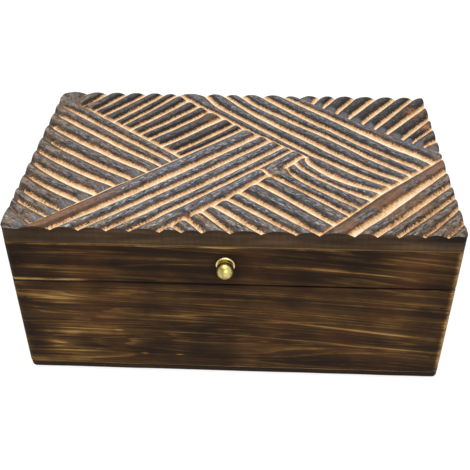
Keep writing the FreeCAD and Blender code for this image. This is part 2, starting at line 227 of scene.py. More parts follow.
# Carved lid: fans of rounded reeds between valley lines, meeting at seams. All places are plan millimetres.
carvedLid = {
    "reedDepth": 2.2,        # crest to valley
    "roundness": 2.1,        # 2 is a parabola, more is flatter on top
    "riseForWidth": 0.31,    # a narrow reed rises this much for each mm of its width
    "acrossSamples": 14,
    "alongStep": 0.9,
    "seamInset": 0.48,       # clear strip beside a seam
    "edgeWear": 0.1,         # how far the crests wear down at the outer edge
    "edgeReach": 1.4,        # how far in from the outer edge that wear goes
    "facetReach": (2.4, 3.4),    # length of the facets cut at a reed's start and end
    "wallRough": 0.1,
    "cornerRadius": 2.2,
    "farPale": 0.09,         # share of the half width that is bare wood on the side towards the back; kept small, so the back slopes stay dark with burn and painted shade
    "sootAndShadeNear": (0.1, 0.4),      # share of the half width where the reed edges blacken with soot, and how soon it is full, front side
    "sootAndShadeFar": (0.25, 0.45),     # the same on the side towards the back, where the blackening is soot and painted shade together
    "dullCorner": 6,         # no bare wood shows this near the front left corner
    "waver": 0.26,
    "heightWaver": 0.18,
    "toolMarks": 0.07,
    "seed": 11,
    # where two fans meet
    "seams": {
        "left": [(-101.5, 61.7), (-28.3, -2.4)],
        "longFront": [(-93.4, -64.25), (-28.3, -2.4)],
        "longBack": [(-28.3, -2.4), (2.4, 26.9)],
        "back": [(-36.5, 64.25), (2.4, 26.9), (34.3, 0.6)],
        "tail": [(34.3, 0.6), (33.7, -2.6), (35.2, -7.1), (38.0, -10.6), (41.9, -14.7), (46.2, -18.8),
                 (50.6, -22.1), (55.0, -24.9), (59.4, -27.3), (68.3, -31.2)],
        "front": [(-31.6, -64.25), (-9.3, -44.4), (10.1, -24.5), (34.3, 0.6)],
        "cornerFront": [(37.9, -64.25), (68.3, -31.2)],
        "cornerBack": [(68.3, -31.2), (101.5, 1.0)],
        "right": [(32.4, 64.25), (64.4, 35.4), (80.0, 22.4), (101.5, 7.0)],
    },
    # each fan's valley lines run from places on one border to places on another; each line sags by its own
    # amount; near is the share of the half width that is bare wood on the side towards the front;
    # plainFan holds for a fan that says nothing else
    "plainFan": {"crests": [], "first": [], "last": [], "dark": 0.0, "facets": (0, 0), "peak": 0.5},
    "fans": {
        "left": {
            "from": {"leftEdge": [61.7, 51.9, 41, 27.8, 14.3, 1.5, -9.6, -20.9, -32.5, -41.1, -47.8, -64.25]},
            "to": {"long": [-28.3, -32.7, -37.1, -43.2, -50.2, -56.9, -64.7, -71.1, -78.1, -83.4, -89.1, -93.4]},
            "first": ["left"], "slopes": (2.0, 4.2), "pale": (0.8, 0.4), "near": 0.5,
            "warm": 0.75, "facets": (0, 0.8),
            "sag": [0, -1, -1.5, -2.4, -2, -2, -2.4, -1.5, -1.5, -1, -1, 0]},
        "backLeft": {
            "from": {"left": [-101.5, -92.9, -87.5, -80.4, -74.8, -67.5, -62.7, -57.4, -51.9, -46.6, -39.1,
                               -32.2, -28.3]},
            "to": {"backEdge": [-101.5, -88, -76.4, -65.3, -54.2, -44.1, -36.5],
                   "back": [-29.6, -22.7, -16.8, -9, -2.4, 2.4]},
            "last": ["longBack"], "slopes": (2.4, 1.8), "pale": (2.4, 0.4), "near": 0.38,
            "dark": 0.5, "warm": 0.5,
            "sag": [0] + 11 * [-0.8] + [0]},
        "long": {
            "from": {"frontEdge": [-93.4, -79.2, -66.9, -54.6, -44.8, -31.6]},
            "to": {"back": [2.4, 10.7, 16.7, 23.2, 27.7, 34.3]},
            "first": ["longFront", "longBack"], "last": ["front"], "slopes": (2.0, 1.8), "pale": (0.8, 0.4),
            "near": 0.48, "warm": 0.12,
            "sag": [0, -2, -1.2, -1.2, -0.5, 0]},
        "back": {
            "from": {"backEdge": [-36.5, -20.4, -9.4, -0.3, 11.8, 23.8, 28.1, 32.4]},
            "to": {"corner": [68.3, 73.5, 78.8, 83.8, 89.2, 96], "rightEdge": [1.0, 7.0]},
            "crests": [6], "first": ["back", "tail"], "last": ["right"], "slopes": (2.0, 2.4), "pale": (0.8, 2.3),
            "near": 0.5, "dark": 0.2, "warm": 0.15, "facets": (0, 0.3), "peak": 0.333,
            "sag": [0, [(0, 0), (0.05, -4.6), (0.13, -6.5), (0.3, -6.7), (0.5, -7.2), (0.62, -6.9), (0.72, -5.8),
                        (0.82, -5), (0.92, -2.7), (1, 0)],
                    [(0, 0), (0.1, -3.3), (0.2, -5.2), (0.333, -6), (0.45, -5.7), (0.58, -6), (0.7, -5.5),
                     (0.8, -4.8), (0.89, -3.4), (0.95, -1.6), (1, 0)],
                    [(0, 0), (0.08, -2.9), (0.2, -3.5), (0.3, -2.9), (0.4, -2), (0.5, -1.1), (0.6, -0.7),
                     (0.7, -1), (0.78, -1.7), (0.85, -1.2), (1, 0)],
                    [(0, 0), (0.1, -1.6), (0.2, -2.6), (0.333, -3), (0.5, -3), (0.65, -3.3), (0.77, -2.4),
                     (0.85, -1.3), (1, 0)],
                    [(0, 0), (0.3, -0.5), (0.55, -1.8), (0.7, -1.8), (0.8, -1.4), (0.87, -0.3), (0.94, 0.6),
                     (1, 0)],
                    -1, 0]},
        "front": {
            "from": {"front": [-31.6, -26.8, -21, -14.2, -9.3, -3.5, 1.8, 10.1, 16.5, 24.3, 28.3, 34.3]},
            "to": {"frontEdge": [-31.6, -21.8, -13, -0.7, 12.8, 27.9, 37.9],
                   "corner": [44.7, 51.9, 57, 63, 68.3]},
            "last": ["tail"], "slopes": (1.8, 2.2), "pale": (0.5, 1.8), "near": 0.48,
            "dark": 0.12, "warm": 0.3, "facets": (0, 0.3), "peak": 0.333,
            "sag": 9 * [0] + [
                    [(0, 0), (0.05, -4), (0.23, -5), (0.4, -4.6), (0.6, -3.4), (0.8, -2), (1, 0)],
                    [(0, 0), (0.07, -3), (0.25, -3.8), (0.4, -3.7), (0.55, -3.2), (0.7, -2.5), (0.85, -1.8),
                     (1, 0)],
                    0]},
        "frontCorner": {
            "from": {"frontEdge": [37.9, 53, 62.8, 72.1, 83.1, 93, 101.5]},
            "to": {"rightEdge": [1.0, -11.3, -23.5, -33.5, -42.2, -54, -64.25]},
            "first": ["cornerFront", "cornerBack"], "slopes": (2.0, 2.6), "pale": (0.8, 0.8),
            "near": 0.62, "dark": 0.05, "warm": 0.8,
            "sag": [0] + 5 * [-0.5] + [0]},
        "backCorner": {
            "from": {"right": [32.4, 40.4, 45.4, 52.5, 58.9, 65.4, 71.4, 74.4, 77.3, 84.8, 89.2, 94.4, 101.5]},
            "to": {"backEdge": [32.4, 43.9, 52.7, 63.5, 75.5, 86.5, 96.2, 101.5],
                   "rightEdge": [55.4, 41, 30.7, 18, 7]},
            "crests": [7], "slopes": (3.4, 2.6), "pale": (0.3, 0.8), "near": 0.46,
            # the back corner's crests are blackened almost fully: burnt wood together with painted shade on the
            # reeds' sides
            "dark": 0.97, "warm": 0.6, "facets": (1, 0),
            "sag": 13 * [0]},
    },
    # worn places where a valley is partly filled: x, y, radius, share
    "worn": [(20.2, -14.0, 4.6, 0.85), (30.9, -29.7, 6.0, 0.35), (-18.9, 43.0, 3.2, 0.4), (-96, 58, 9.0, 0.85),
             (-97, -57, 7.0, 0.7), (98, -60, 8.0, 0.55), (84, -62, 5.0, 0.3)],
    # small torn knots: x, y, radius, depth
    "knots": [(-23.0, -50.0, 2.2, 0.7), (-20.0, -52.6, 1.5, 0.5), (-5.4, -36.4, 1.7, 0.5), (-2.6, -34.0, 1.1, 0.4)],
    # stray cuts of the chisel: from, to, half width, depth, how bare
    "cuts": [((10.9, -11.7), (15.7, -17.5), 0.8, 1.3, 0.9), ((-15.6, -52.3), (-10.1, -58.7), 0.7, 0.7, 0.45),
             ((10.1, -32.1), (17.5, -38.7), 0.3, 0.3, 0.7)],
    # frayed places where pale wood shows through the burn: x, y, radius, share
    "frayed": [(96, 46, 8, 0.34), (99, 31, 6, 0.36), (100, 15, 4.5, 0.4), (72, -50, 9, 0.3), (86, -44, 10, 0.34),
               (95, -56, 7, 0.3), (-96, 58, 8, 0.3), (-99, -30, 6, 0.3), (-98, 20, 6, 0.25)],
    "wornDepth": 0.7,        # a worn valley is filled up to this far below the crests
    # how far in from the left edge the valleys are rubbed brown, and the depth and share of filling there
    "leftWear": (3.2, 0.8, 0.4),
    # reeds with a redder burn: fan, reed number, share
    "redReeds": [("long", 0, 1.0), ("frontCorner", 0, 0.8), ("frontCorner", 4, 0.5), ("back", 5, 0.12)],
}


# The outline with rounded corners: a point outside the corner's arc is drawn in to it
def roundedPlan(x, y, radius, inset=0.0, onOutline=False):
    cx = np.clip(x, -halfLength + radius, halfLength - radius)
    cy = np.clip(y, -halfWidth + radius, halfWidth - radius)
    dx, dy = x - cx, y - cy
    length = np.maximum(np.hypot(dx, dy), 1e-9)
    reach = radius - inset if onOutline else np.minimum(length, radius - inset)
    return cx + dx / length * reach, cy + dy / length * reach


# Places on a border: an outer edge takes the running coordinate, a seam takes x; the third column marks seams
def placesOn(border, places):
    places = np.array(places, float)
    edges = {"leftEdge": (0, -halfLength), "rightEdge": (0, halfLength),
             "frontEdge": (1, -halfWidth), "backEdge": (1, halfWidth)}
    points = np.zeros((len(places), 3))
    if border in edges:
        axis, value = edges[border]
        points[:, axis] = value
        points[:, 1 - axis] = places
        return points
    joined = {"long": ["longFront", "longBack"], "corner": ["cornerFront", "cornerBack"]}
    path = np.array(seamPath(joined.get(border, [border])))
    points[:, 0] = places
    points[:, 1] = np.interp(places, path[:, 0], path[:, 1])
    points[:, 2] = 1.0
    return points


# A path of points read at shares 0 to 1 of its length
def alongPath(path, shares):
    path = np.asarray(path, float)
    steps = np.hypot(*np.diff(path, axis=0).T)
    reached = np.concatenate([[0], np.cumsum(steps)]) / steps.sum()
    return np.stack([np.interp(shares, reached, path[:, axis]) for axis in (0, 1)], -1)


def seamPath(names):
    points = list(carvedLid["seams"][names[0]])
    for name in names[1:]:
        points += carvedLid["seams"][name][1:]
    return points


# How far a named seam bends away from its straight chord, at shares along it
def seamBend(names, shares):
    if not names:
        return np.zeros((*np.shape(shares), 2))
    path = np.array(seamPath(names))
    chord = path[0] + (path[-1] - path[0]) * np.asarray(shares)[..., None]
    return alongPath(path, shares) - chord


# One fan. Across it u counts the reeds, along it v runs from 0 to 1: plan place = straight line from the start
# border to the end border at u, bent like the seam where u is beside one, with the line's own sag along it.
def fanPlace(fan, u, v):
    counts = fan["counts"]
    start, end = (np.stack([np.interp(u, counts, column) for column in fan[key].T], -1) for key in ("starts", "ends"))
    length = np.hypot(*(end - start)[..., :2].transpose(-1, *range(u.ndim)))
    inset = carvedLid["seamInset"] / np.maximum(length, 1e-6)
    low = np.minimum(inset * start[..., 2], 0.45)
    high = 1 - np.minimum(inset * end[..., 2], 0.45)
    share = low + (high - low) * v
    nearFirst, nearLast = np.clip(1 - u, 0, 1), np.clip(u - counts[-1] + 1, 0, 1)
    bend = (seamBend(fan["first"], share) * nearFirst[..., None]
            + seamBend(fan["last"], share) * nearLast[..., None])
    place = start[..., :2] + (end - start)[..., :2] * share[..., None] + bend
    table = fan["sagTable"]
    line = np.clip(np.searchsorted(counts, u, side="right") - 1, 0, len(counts) - 2)
    between = (u - counts[line]) / (counts[line + 1] - counts[line])
    column = np.clip(share, 0, 1) * (table.shape[1] - 1)
    whole = np.minimum(column.astype(int), table.shape[1] - 2)
    part = column - whole
    here = table[line, whole] * (1 - part) + table[line, whole + 1] * part
    there = table[line + 1, whole] * (1 - part) + table[line + 1, whole + 1] * part
    place[..., 1] += here * (1 - between) + there * between
    return place, share * length, (1 - share) * length, start[..., 2], end[..., 2]


def prepareFan(fan, plainFan):
    for key, value in plainFan.items():
        fan.setdefault(key, value)
    fan["starts"] = np.concatenate([placesOn(*part) for part in fan["from"].items()])
    fan["ends"] = np.concatenate([placesOn(*part) for part in fan["to"].items()])
    crests = fan["crests"]
    steps = [0.5 if index in crests or index - 1 in crests else 1.0 for index in range(1, len(fan["starts"]))]
    fan["counts"] = np.cumsum([0.0] + steps)
    # each line's sag at 60 shares along it: one amount swelling to its peak, or places read off a list
    share = np.linspace(0, 1, 61)
    peak = fan["peak"]
    swell = share * (1 - share) ** (1 / peak - 1) / (peak * (1 - peak) ** (1 / peak - 1))
    fan["sagTable"] = np.array([np.interp(share, *np.array(sag).T) if isinstance(sag, list) else sag * swell
                                for sag in fan["sag"]])
    soften = np.array([1, 2, 3, 2, 1]) / 9
    fan["sagTable"][:, 2:-2] = np.stack([np.convolve(row, soften, "valid") for row in fan["sagTable"]])


# Slope factor at a reed's end: on a seam it rises from 0 over the slope's length, on an outer edge it is wear only
def endFactor(distance, onSeam, slope, wear):
    seamRise = 1 - (1 - np.clip(distance / slope, 0, 1)) ** 2
    edgeRise = 1 - wear * (1 - np.clip(distance / carvedLid["edgeReach"], 0, 1)) ** 2
    return seamRise * onSeam + edgeRise * (1 - onSeam)


# Height of a reed: valley + rise * (1 - |2f - 1|^roundness) * end factors, f across one reed
def carveLid(spec):
    tables, edges, reedNames, reedTurn = [], [], [], []
    valley = panelHigh[2] - spec["reedDepth"]
    # what a point has besides its plan place: height, bare wood, soot and painted shade, crown, facet at a cut end,
    # reed
    ground = (valley, 1.0, 0.0, 0.0, 0.0, -1)

    def addPoints(points, *columns):
        tables.append(np.column_stack([points, *(np.broadcast_to(column, len(points)) for column in columns)]))

    def addLine(points):
        index = sum(len(table) for table in tables) + np.arange(len(points) - 1)
        addPoints(points, *ground)
        edges.append(np.stack([index, index + 1], -1))

    for path in spec["seams"].values():
        lengths = np.hypot(*np.diff(np.array(path), axis=0).T)
        addLine(alongPath(path, np.linspace(0, 1, int(lengths.sum() / spec["alongStep"]) + 1)))

    for fanName, fan in spec["fans"].items():
        prepareFan(fan, spec["plainFan"])
        counts = fan["counts"]
        for line in np.unique(np.floor(counts)):
            if (line == 0 and fan["first"]) or (line == counts[-1] and fan["last"]):
                continue
            ends = fanPlace(fan, np.full(2, line), np.array([0.0, 1.0]))[0]
            rows = max(2, int(np.hypot(*(ends[1] - ends[0])) / spec["alongStep"]) + 1)
            addLine(fanPlace(fan, np.full(rows, line), np.linspace(0, 1, rows))[0])
        for reed in range(int(counts[-1])):
            borders = fanPlace(fan, np.array([reed, reed, reed + 1, reed + 1.0]), np.array([0, 1, 0, 1.0]))[0]
            longest = max(np.hypot(*(borders[1] - borders[0])), np.hypot(*(borders[3] - borders[2])))
            rows = max(3, int(longest / spec["alongStep"]) + 1)
            samples = spec["acrossSamples"]
            f, v = np.meshgrid(np.arange(1, samples) / samples, np.linspace(0, 1, rows), indexing="ij")
            place, fromStart, fromEnd, seamStart, seamEnd = fanPlace(fan, reed + f, v)
            oneSide = fanPlace(fan, np.full(rows, float(reed)), v[0])[0]
            otherSide = fanPlace(fan, np.full(rows, reed + 1.0), v[0])[0]
            run = (borders[1] + borders[3] - borders[0] - borders[2]) / 2
            run = run / max(np.hypot(*run), 1e-6)
            gap = otherSide - oneSide
            width = np.abs(gap[:, 0] * run[1] - gap[:, 1] * run[0])[None, :]
            rise = np.minimum(spec["reedDepth"], spec["riseForWidth"] * width)
            away = np.abs(2 * f - 1)
            arc = 1 - away ** spec["roundness"]
            sideways = gap - (gap @ run)[:, None] * run
            near = (f < 0.5) == (sideways[:, 1].mean() > 0)
            reach = np.where(near, fan["near"], spec["farPale"])
            bare = np.clip((away - 1 + reach) / reach, 0, 1)
            begin, rising = (np.where(near, *pair) for pair in zip(spec["sootAndShadeNear"], spec["sootAndShadeFar"]))
            sootAndShade = np.clip((away - begin) / rising, 0, 1)
            slopes, pale = fan["slopes"], fan["pale"]
            ends = (endFactor(fromStart, seamStart, slopes[0], spec["edgeWear"])
                    * endFactor(fromEnd, seamEnd, slopes[1], spec["edgeWear"]))
            paleEnds = endFactor(fromStart, seamStart, pale[0], 0.0) * endFactor(fromEnd, seamEnd, pale[1], 0.0)
            z = valley + rise * arc * ends
            bare = 1 - (1 - bare) * paleEnds
            facet = sum(share * np.exp(-(distance / reach) ** 4) for share, distance, reach
                        in zip(fan["facets"], (fromStart, fromEnd), spec["facetReach"]))
            columns = [column.ravel() for column in (z, bare, sootAndShade, arc * ends, facet * arc)]
            addPoints(place.reshape(-1, 2), *columns, len(reedNames))
            reedNames.append((fanName, reed))
            reedTurn.append(math.atan2(run[1], run[0]))

    table = np.concatenate(tables)
    result = delaunay_2d_cdt([Vector(point) for point in table[:, :2]], np.concatenate(edges).tolist(), [], 0, 1e-4)
    plan, faces = np.array([tuple(point) for point in result[0]]), np.array(result[2])
    origin = np.array([sources[0] if sources else -1 for sources in result[3]])
    table = np.where(origin[:, None] < 0, ground, table[origin, 2:])
    print("carved lid triangulated:", len(plan), "points,", len(faces), "faces,", len(reedNames), "reeds")
    return plan, table, faces, reedNames, np.array(reedTurn)


def setAttribute(mesh, name, domain, values):
    mesh.attributes.new(name, "FLOAT", domain).data.foreach_set("value", values.astype(np.float32))


# The carved sheet, its scalloped side walls and its flat underside, as one closed mesh
def carvedPanelMesh(spec):
    plan, table, faces, reedNames, reedTurn = carveLid(spec)
    x, y = plan.T
    z, bare, sootAndShade, crown, facet, reedOf = table.T
    bare = bare * np.clip(np.hypot(x + halfLength, y + halfWidth) / spec["dullCorner"] - 1, 0, 1)
    top, seed = panelHigh[2], spec["seed"]
    wearReach, wearDepth, wearFill = spec["leftWear"]

    # part of each valley filled, up to a depth below the crests
    def fillValleys(depth, share):
        return z + (top - depth - z) * share * (z < top - depth)

    rubbed = np.clip(1.3 - (x + halfLength) / (wearReach * (1 + 0.6 * lumps(x, y, 6, seed + 5))), 0, 1)
    z = fillValleys(wearDepth, wearFill * rubbed)
    bare = bare * (1 - 0.85 * rubbed)

    # 1 at a place, falling away over its radius
    def nearness(cx, cy, radius):
        return np.exp(-((x - cx) ** 2 + (y - cy) ** 2) / radius ** 2)

    for *place, share in spec["frayed"]:
        bare = np.maximum(bare, share * nearness(*place))
    for *place, share in spec["worn"]:
        near = share * nearness(*place)
        z = fillValleys(spec["wornDepth"], near)
        bare, sootAndShade = bare * (1 - near), sootAndShade * (1 - near)
    for start, end, wide, deep, pale in spec["cuts"]:
        start, end = np.array(start), np.array(end)
        share = np.clip((plan - start) @ (end - start) / ((end - start) @ (end - start)), 0, 1)
        near = np.exp(-(np.hypot(*(plan - start - share[:, None] * (end - start)).T) / wide) ** 2)
        z = z - deep * near * crown
        bare = np.maximum(bare, pale * near)
    for *place, deep in spec["knots"]:
        near = nearness(*place)
        z, bare, sootAndShade = z - deep * near * crown, bare * (1 - near), np.maximum(sootAndShade, near)
    uneven = spec["heightWaver"] * (1 + lumps(x, y, 9, seed)) / 2 + spec["toolMarks"] * lumps(x, y, 1.9, seed + 1)
    z = np.minimum(z - uneven * (0.35 + 0.65 * crown), top)
    border = np.minimum(halfLength - np.abs(x), halfWidth - np.abs(y))
    fade = np.clip(border / 5, 0, 1) * spec["waver"]
    x = x + fade * lumps(x, y, 10, seed + 2)
    y = y + fade * lumps(x, y, 10, seed + 3)
    radius = spec["cornerRadius"]

    # the outer loop, in order round the outline
    sides = np.sort(np.concatenate([faces[:, [0, 1]], faces[:, [1, 2]], faces[:, [2, 0]]]), axis=1)
    pairs, counts = np.unique(sides, axis=0, return_counts=True)
    rim = np.unique(pairs[counts == 1])
    rx, ry = plan[rim].T
    onFront, onRight, onBack = ry < -halfWidth + 1e-3, rx > halfLength - 1e-3, ry > halfWidth - 1e-3
    walk = np.select([onFront, onRight, onBack],
                     [rx + halfLength, 2 * halfLength + ry + halfWidth,
                      4 * halfLength + 2 * halfWidth - (rx + halfLength)],
                     4 * halfLength + 4 * halfWidth - (ry + halfWidth))
    rim = rim[np.argsort(walk)]
    x, y = roundedPlan(x, y, radius)

    # walls: the rim carried down to the underside, a little hollow and eased at the bottom
    drops = np.array([0.06, 0.3, 0.55, 0.8, 0.955, 1.0])
    insets = np.array([0.05, 0.12, 0.12, 0.08, 0.1, 0.45])
    rx, ry = plan[rim].T
    rough = spec["wallRough"] * (1 + lumps(np.sort(walk), drops[:, None] * 10, 6, seed + 4))
    wx, wy = roundedPlan(rx, ry, radius, insets[:, None] + rough, onOutline=True)
    wz = z[rim] + (panelLow[2] - z[rim]) * drops[:, None]
    wallPoints = np.stack([wx, wy, wz], -1).reshape(-1, 3)
    points = np.concatenate([np.stack([x, y, z], -1), wallPoints])
    rows = np.concatenate([rim[None, :], len(x) + np.arange(wallPoints.shape[0]).reshape(len(drops), -1)])
    nextRows = np.roll(rows, -1, axis=1)
    walls = np.stack([nextRows[:-1], rows[:-1], rows[1:], nextRows[1:]], -1).reshape(-1, 4)
    underside = rows[-1][::-1][None, :]

    mesh = buildMesh("carvedPanel", points, faces, walls, underside)
    faceReed = np.concatenate([reedOf[faces].max(axis=1), np.full(len(walls) + 1, -1)]).astype(int)
    rng = np.random.default_rng(seed)
    redShare = {(fan, reed): share for fan, reed, share in spec["redReeds"]}
    ownFans = [spec["fans"][fan] for fan, reed in reedNames]
    perReed = {"reedTone": rng.uniform(-1, 1, len(reedNames)),
               "reedRed": [redShare.get(name, 0.0) for name in reedNames],
               "reedDark": [fan["dark"] for fan in ownFans], "reedWarm": [fan["warm"] for fan in ownFans]}
    for name, shade in {"bare": bare, "sootAndShade": sootAndShade, "facet": facet}.items():
        setAttribute(mesh, name, "POINT", np.concatenate([shade, np.zeros(len(wallPoints))]))
    for name, shares in perReed.items():
        setAttribute(mesh, name, "FACE", np.append(shares, 0.0)[faceReed])
    # along and across the reed in metres, so that streaks follow each reed
    turn = np.append(reedTurn, 0.0)[faceReed[:len(faces)]]
    cornersX, cornersY = points[faces, 0], points[faces, 1]
    along = cornersX * np.cos(turn)[:, None] + cornersY * np.sin(turn)[:, None]
    across = -cornersX * np.sin(turn)[:, None] + cornersY * np.cos(turn)[:, None]
    carvedUv = np.stack([along, across], -1).reshape(-1, 2) * mm
    otherUv = np.zeros((len(mesh.loops) - len(carvedUv), 2))
    uvLayer = mesh.uv_layers.new(name="reedUv")
    uvLayer.data.foreach_set("uv", np.concatenate([carvedUv, otherUv]).astype(np.float32).ravel())
    materialIndex = np.concatenate([np.zeros(len(faces)), np.ones(len(walls) + 1)]).astype(np.int32)
    mesh.polygons.foreach_set("material_index", materialIndex)
    return mesh


carvedFinish = {
    # crestSheenBlue is a painted bluish sheen, a reflection of the sky on the crests; glint is a painted whitish
    # highlight
    "crest": (27, 25, 26), "crestGrey": (122, 121, 125), "crestSheenBlue": (116, 123, 138), "glint": (214, 217, 225),
    # sootAndShade is the black of soot, and of painted shade on the back slopes
    "sootAndShade": (20, 18, 18), "crestBrown": (136, 112, 91), "crestUmber": (44, 33, 25), "crestRed": (132, 90, 58),
    # facet is a bluish-grey reflection painted on the flat cut ends of the reeds
    "weathered": (152, 130, 106), "weatheredDark": (62, 49, 39), "facet": (108, 110, 114),
    "scorch": (56, 38, 26), "ember": (132, 89, 53), "slope": (202, 155, 107), "paleSlope": (230, 192, 145),
    "cream": (242, 216, 178), "valley": (247, 231, 203),
    # weathered zones: x, y, half length, half width, turn, strength
    "weatheredPlaces": [(-99, 5, 80, 15, 90, 0.9), (-90, -54, 26, 18, 0, 0.8), (-92, 54, 20, 18, 0, 0.8),
                        (90, -54, 30, 20, 0, 0.65), (98, -10, 60, 10, 90, 0.5), (-20, -61, 95, 9, 0, 0.75),
                        (21, -14, 8, 6, -25, 0.9), (50, -46, 18, 10, 40, 0.45), (70, 60, 50, 9, 0, 0.12)],
}


def carvedTopMaterial(finish):
    material, places = startMaterial("carvedReeds")
    tree = places.tree
    reed = addNode(tree, "UVMap", uv_map="reedUv")
    bare, sootAndShade, tone, red, dark, warm, facet = (
        addNode(tree, "Attribute", output="Fac", attribute_name=name)
        for name in ("bare", "sootAndShade", "reedTone", "reedRed", "reedDark", "reedWarm", "facet"))
    x = axesOf(places)[0]
    fibres = grainNoise(reed, (90, 1100, 1), 5, 0.6)
    torn = grainNoise(reed, (1400, 420, 1), 4, 0.7)
    chips = grainNoise(reed, (340, 1300, 1), 3, 0.6)
    speckle = grainNoise(reed, (210, 850, 1), 5, 0.72)
    grit = grainNoise(places, (1100, 1100, 1100), 2, 0.6)
    mottle = grainNoise(places, (300, 300, 300), 4, 0.65)
    clouds = grainNoise(places, (45, 45, 45), 3, 0.55)
    weather = None
    for px, py, long, wide, turn, strength in finish["weatheredPlaces"]:
        spot = remap(softSpot(places, (px, py, panelHigh[2]), (0, 0, turn), (long, wide, 50)), 0.0, 0.6) * strength
        weather = spot if weather is None else weather.calc("MAXIMUM", spot)
    # how far the bare wood reaches up the slope: torn across the reed, wandering along it, less where weathered
    level = (bare + (torn - 0.5) * 0.85 + (clouds - 0.5) * 0.45 + (mottle - 0.5) * 0.4
             + (grit - 0.5) * (weather * 0.9 + 0.5) + tone * 0.06 + weather * -0.3)
    patchy = speckle + (grit - 0.5) * 0.38
    patches = remap(patchy, 0.38, 0.64)
    # paintedSheen: a bluish-grey sheen painted on the crests in patches, standing for a reflection of the sky
    paintedSheen = remap(clouds + (fibres - 0.5) * 0.8 + tone * 0.12, 0.45, 0.75, 0.0, 0.75)
    brownness = (warm * remap(clouds, 0.3, 0.6, 0.45, 1.0)).calc("MAXIMUM", remap(mottle, 0.5, 0.66, 0.0, 0.5))
    weathered = remap(patchy + (mottle - 0.5) * 0.8, 0.33, 0.68)
    # the redder burn keeps to the lower left and to patches of the right corner
    redPlaces = remap(x, -0.035, -0.075).calc("MAXIMUM", remap(x, 0.04, 0.05) * remap(clouds, 0.42, 0.6))
    redAmount = red * redPlaces * remap(patchy, 0.3, 0.65, 0.35, 1.0)
    # blackened reed edges: soot of the burn, and on the back slopes painted shade as well
    sootAndShadeAmount = remap(sootAndShade + (torn - 0.5) * 0.9, 0.1, 0.95) * remap(dark, 0.0, 0.5, 0.62, 0.95)
    # glint: whitish dashes painted on the crest centres, a painted highlight of chisel marks catching the light
    glint = (remap(chips, 0.53, 0.64) * remap(sootAndShade, 0.8, 0.1) * remap(warm, 0.2, 0.8, 1.0, 0.45)
             * remap(dark, 0.0, 0.3, 0.65, 0.25) * remap(redAmount, 0.0, 0.6, 1.0, 0.2))
    # the burnt crest in layers, each over the one before; the bluish sheen, the facet grey and the glints are painted
    # light, and the soot layers hold painted shade too
    crest = blend(patches, finish["crest"], finish["crestGrey"])
    for amount, layer in [
            (paintedSheen * remap(patchy, 0.38, 0.6, 0.2, 1.0), finish["crestSheenBlue"]),
            (brownness, blend(patches, finish["crestUmber"], finish["crestBrown"])),
            (dark, finish["sootAndShade"]),
            (weather * 0.8, blend(weathered, finish["weatheredDark"], finish["weathered"])),
            (redAmount, finish["crestRed"]), (sootAndShadeAmount, finish["sootAndShade"]), (facet * 0.85, finish["facet"]),
            (glint, finish["glint"])]:
        crest = blend(amount, crest, layer)
    slope = colours(level, finish, {0.1: "scorch", 0.26: "ember", 0.46: "slope", 0.66: "paleSlope", 0.82: "cream",
                                    0.98: "valley"})
    colour = blend(remap(level, 0.06, 0.26), crest, slope)
    roughness = remap(fibres + bare * 0.4, 0.2, 1.1, 0.32, 0.66)
    finishSurface(colour, roughness, [(chips, 0.6, 0.0008), (fibres, 0.4, 0.0004), (speckle, 0.5, 0.0004)], 0.15)
    return material


panelEdgeFinish = {"dark": (36, 27, 20), "mid": (74, 57, 42), "light": (116, 92, 64), "shadeBlueBlack": (20, 18, 20),
                   "seam": (168, 132, 84), "underDark": (150, 112, 74), "underPale": (190, 150, 104)}


def panelEdgeMaterial(finish):
    material, places = startMaterial("lidPanelEdge")
    x, z = axesOf(places)[::2]
    sawMarks = grainNoise(places, (700, 700, 60), 4, 0.6)
    bands = grainNoise(places, (30, 30, 300), 3, 0.5)
    colour = colours(bands + (sawMarks - 0.5) * 0.25, finish, {0.2: "dark", 0.52: "mid", 0.85: "light"})
    # painted shade: a bluish-black band under the carving at the right end, and a rubbed line along the lower edge
    rightEndShade = remap(x, 0.074, 0.094) * remap(z, (panelHigh[2] - 5.5) * mm, (panelHigh[2] - 3) * mm)
    colour = blend(rightEndShade * 0.9, colour, finish["shadeBlueBlack"])
    lowLine = remap(z, (panelLow[2] + 1.1) * mm, (panelLow[2] + 0.2) * mm) * remap(x, -0.1, -0.04, 0.3, 1.0)
    colour = blend(lowLine * remap(bands, 0.3, 0.6, 0.4, 0.9), colour, finish["seam"])
    # the underside, seen when the lid is open, is plain planed wood
    fibres = grainNoise(places, (22, 850, 850), 4, 0.6)
    rings = grainNoise(places, (5, 90, 90), 3, 0.55, 0.4)
    under = plainWood(fibres, rings, finish["underDark"], finish["underPale"])
    colour = blend(remap(facingUp(places), -0.7, -0.9), colour, under)
    finishSurface(colour, remap(fibres, 0.2, 0.8, 0.52, 0.68), [(sawMarks, 0.2, 0.0004)], 0.1)
    return material


carvedTop = carvedTopMaterial(carvedFinish)
panelEdge = panelEdgeMaterial(panelEdgeFinish)
addPiece("carved_lid", carvedPanelMesh(carvedLid), "lid", ["carved_lid_panel"],
         [carvedTop, panelEdge])
print("carved lid made")


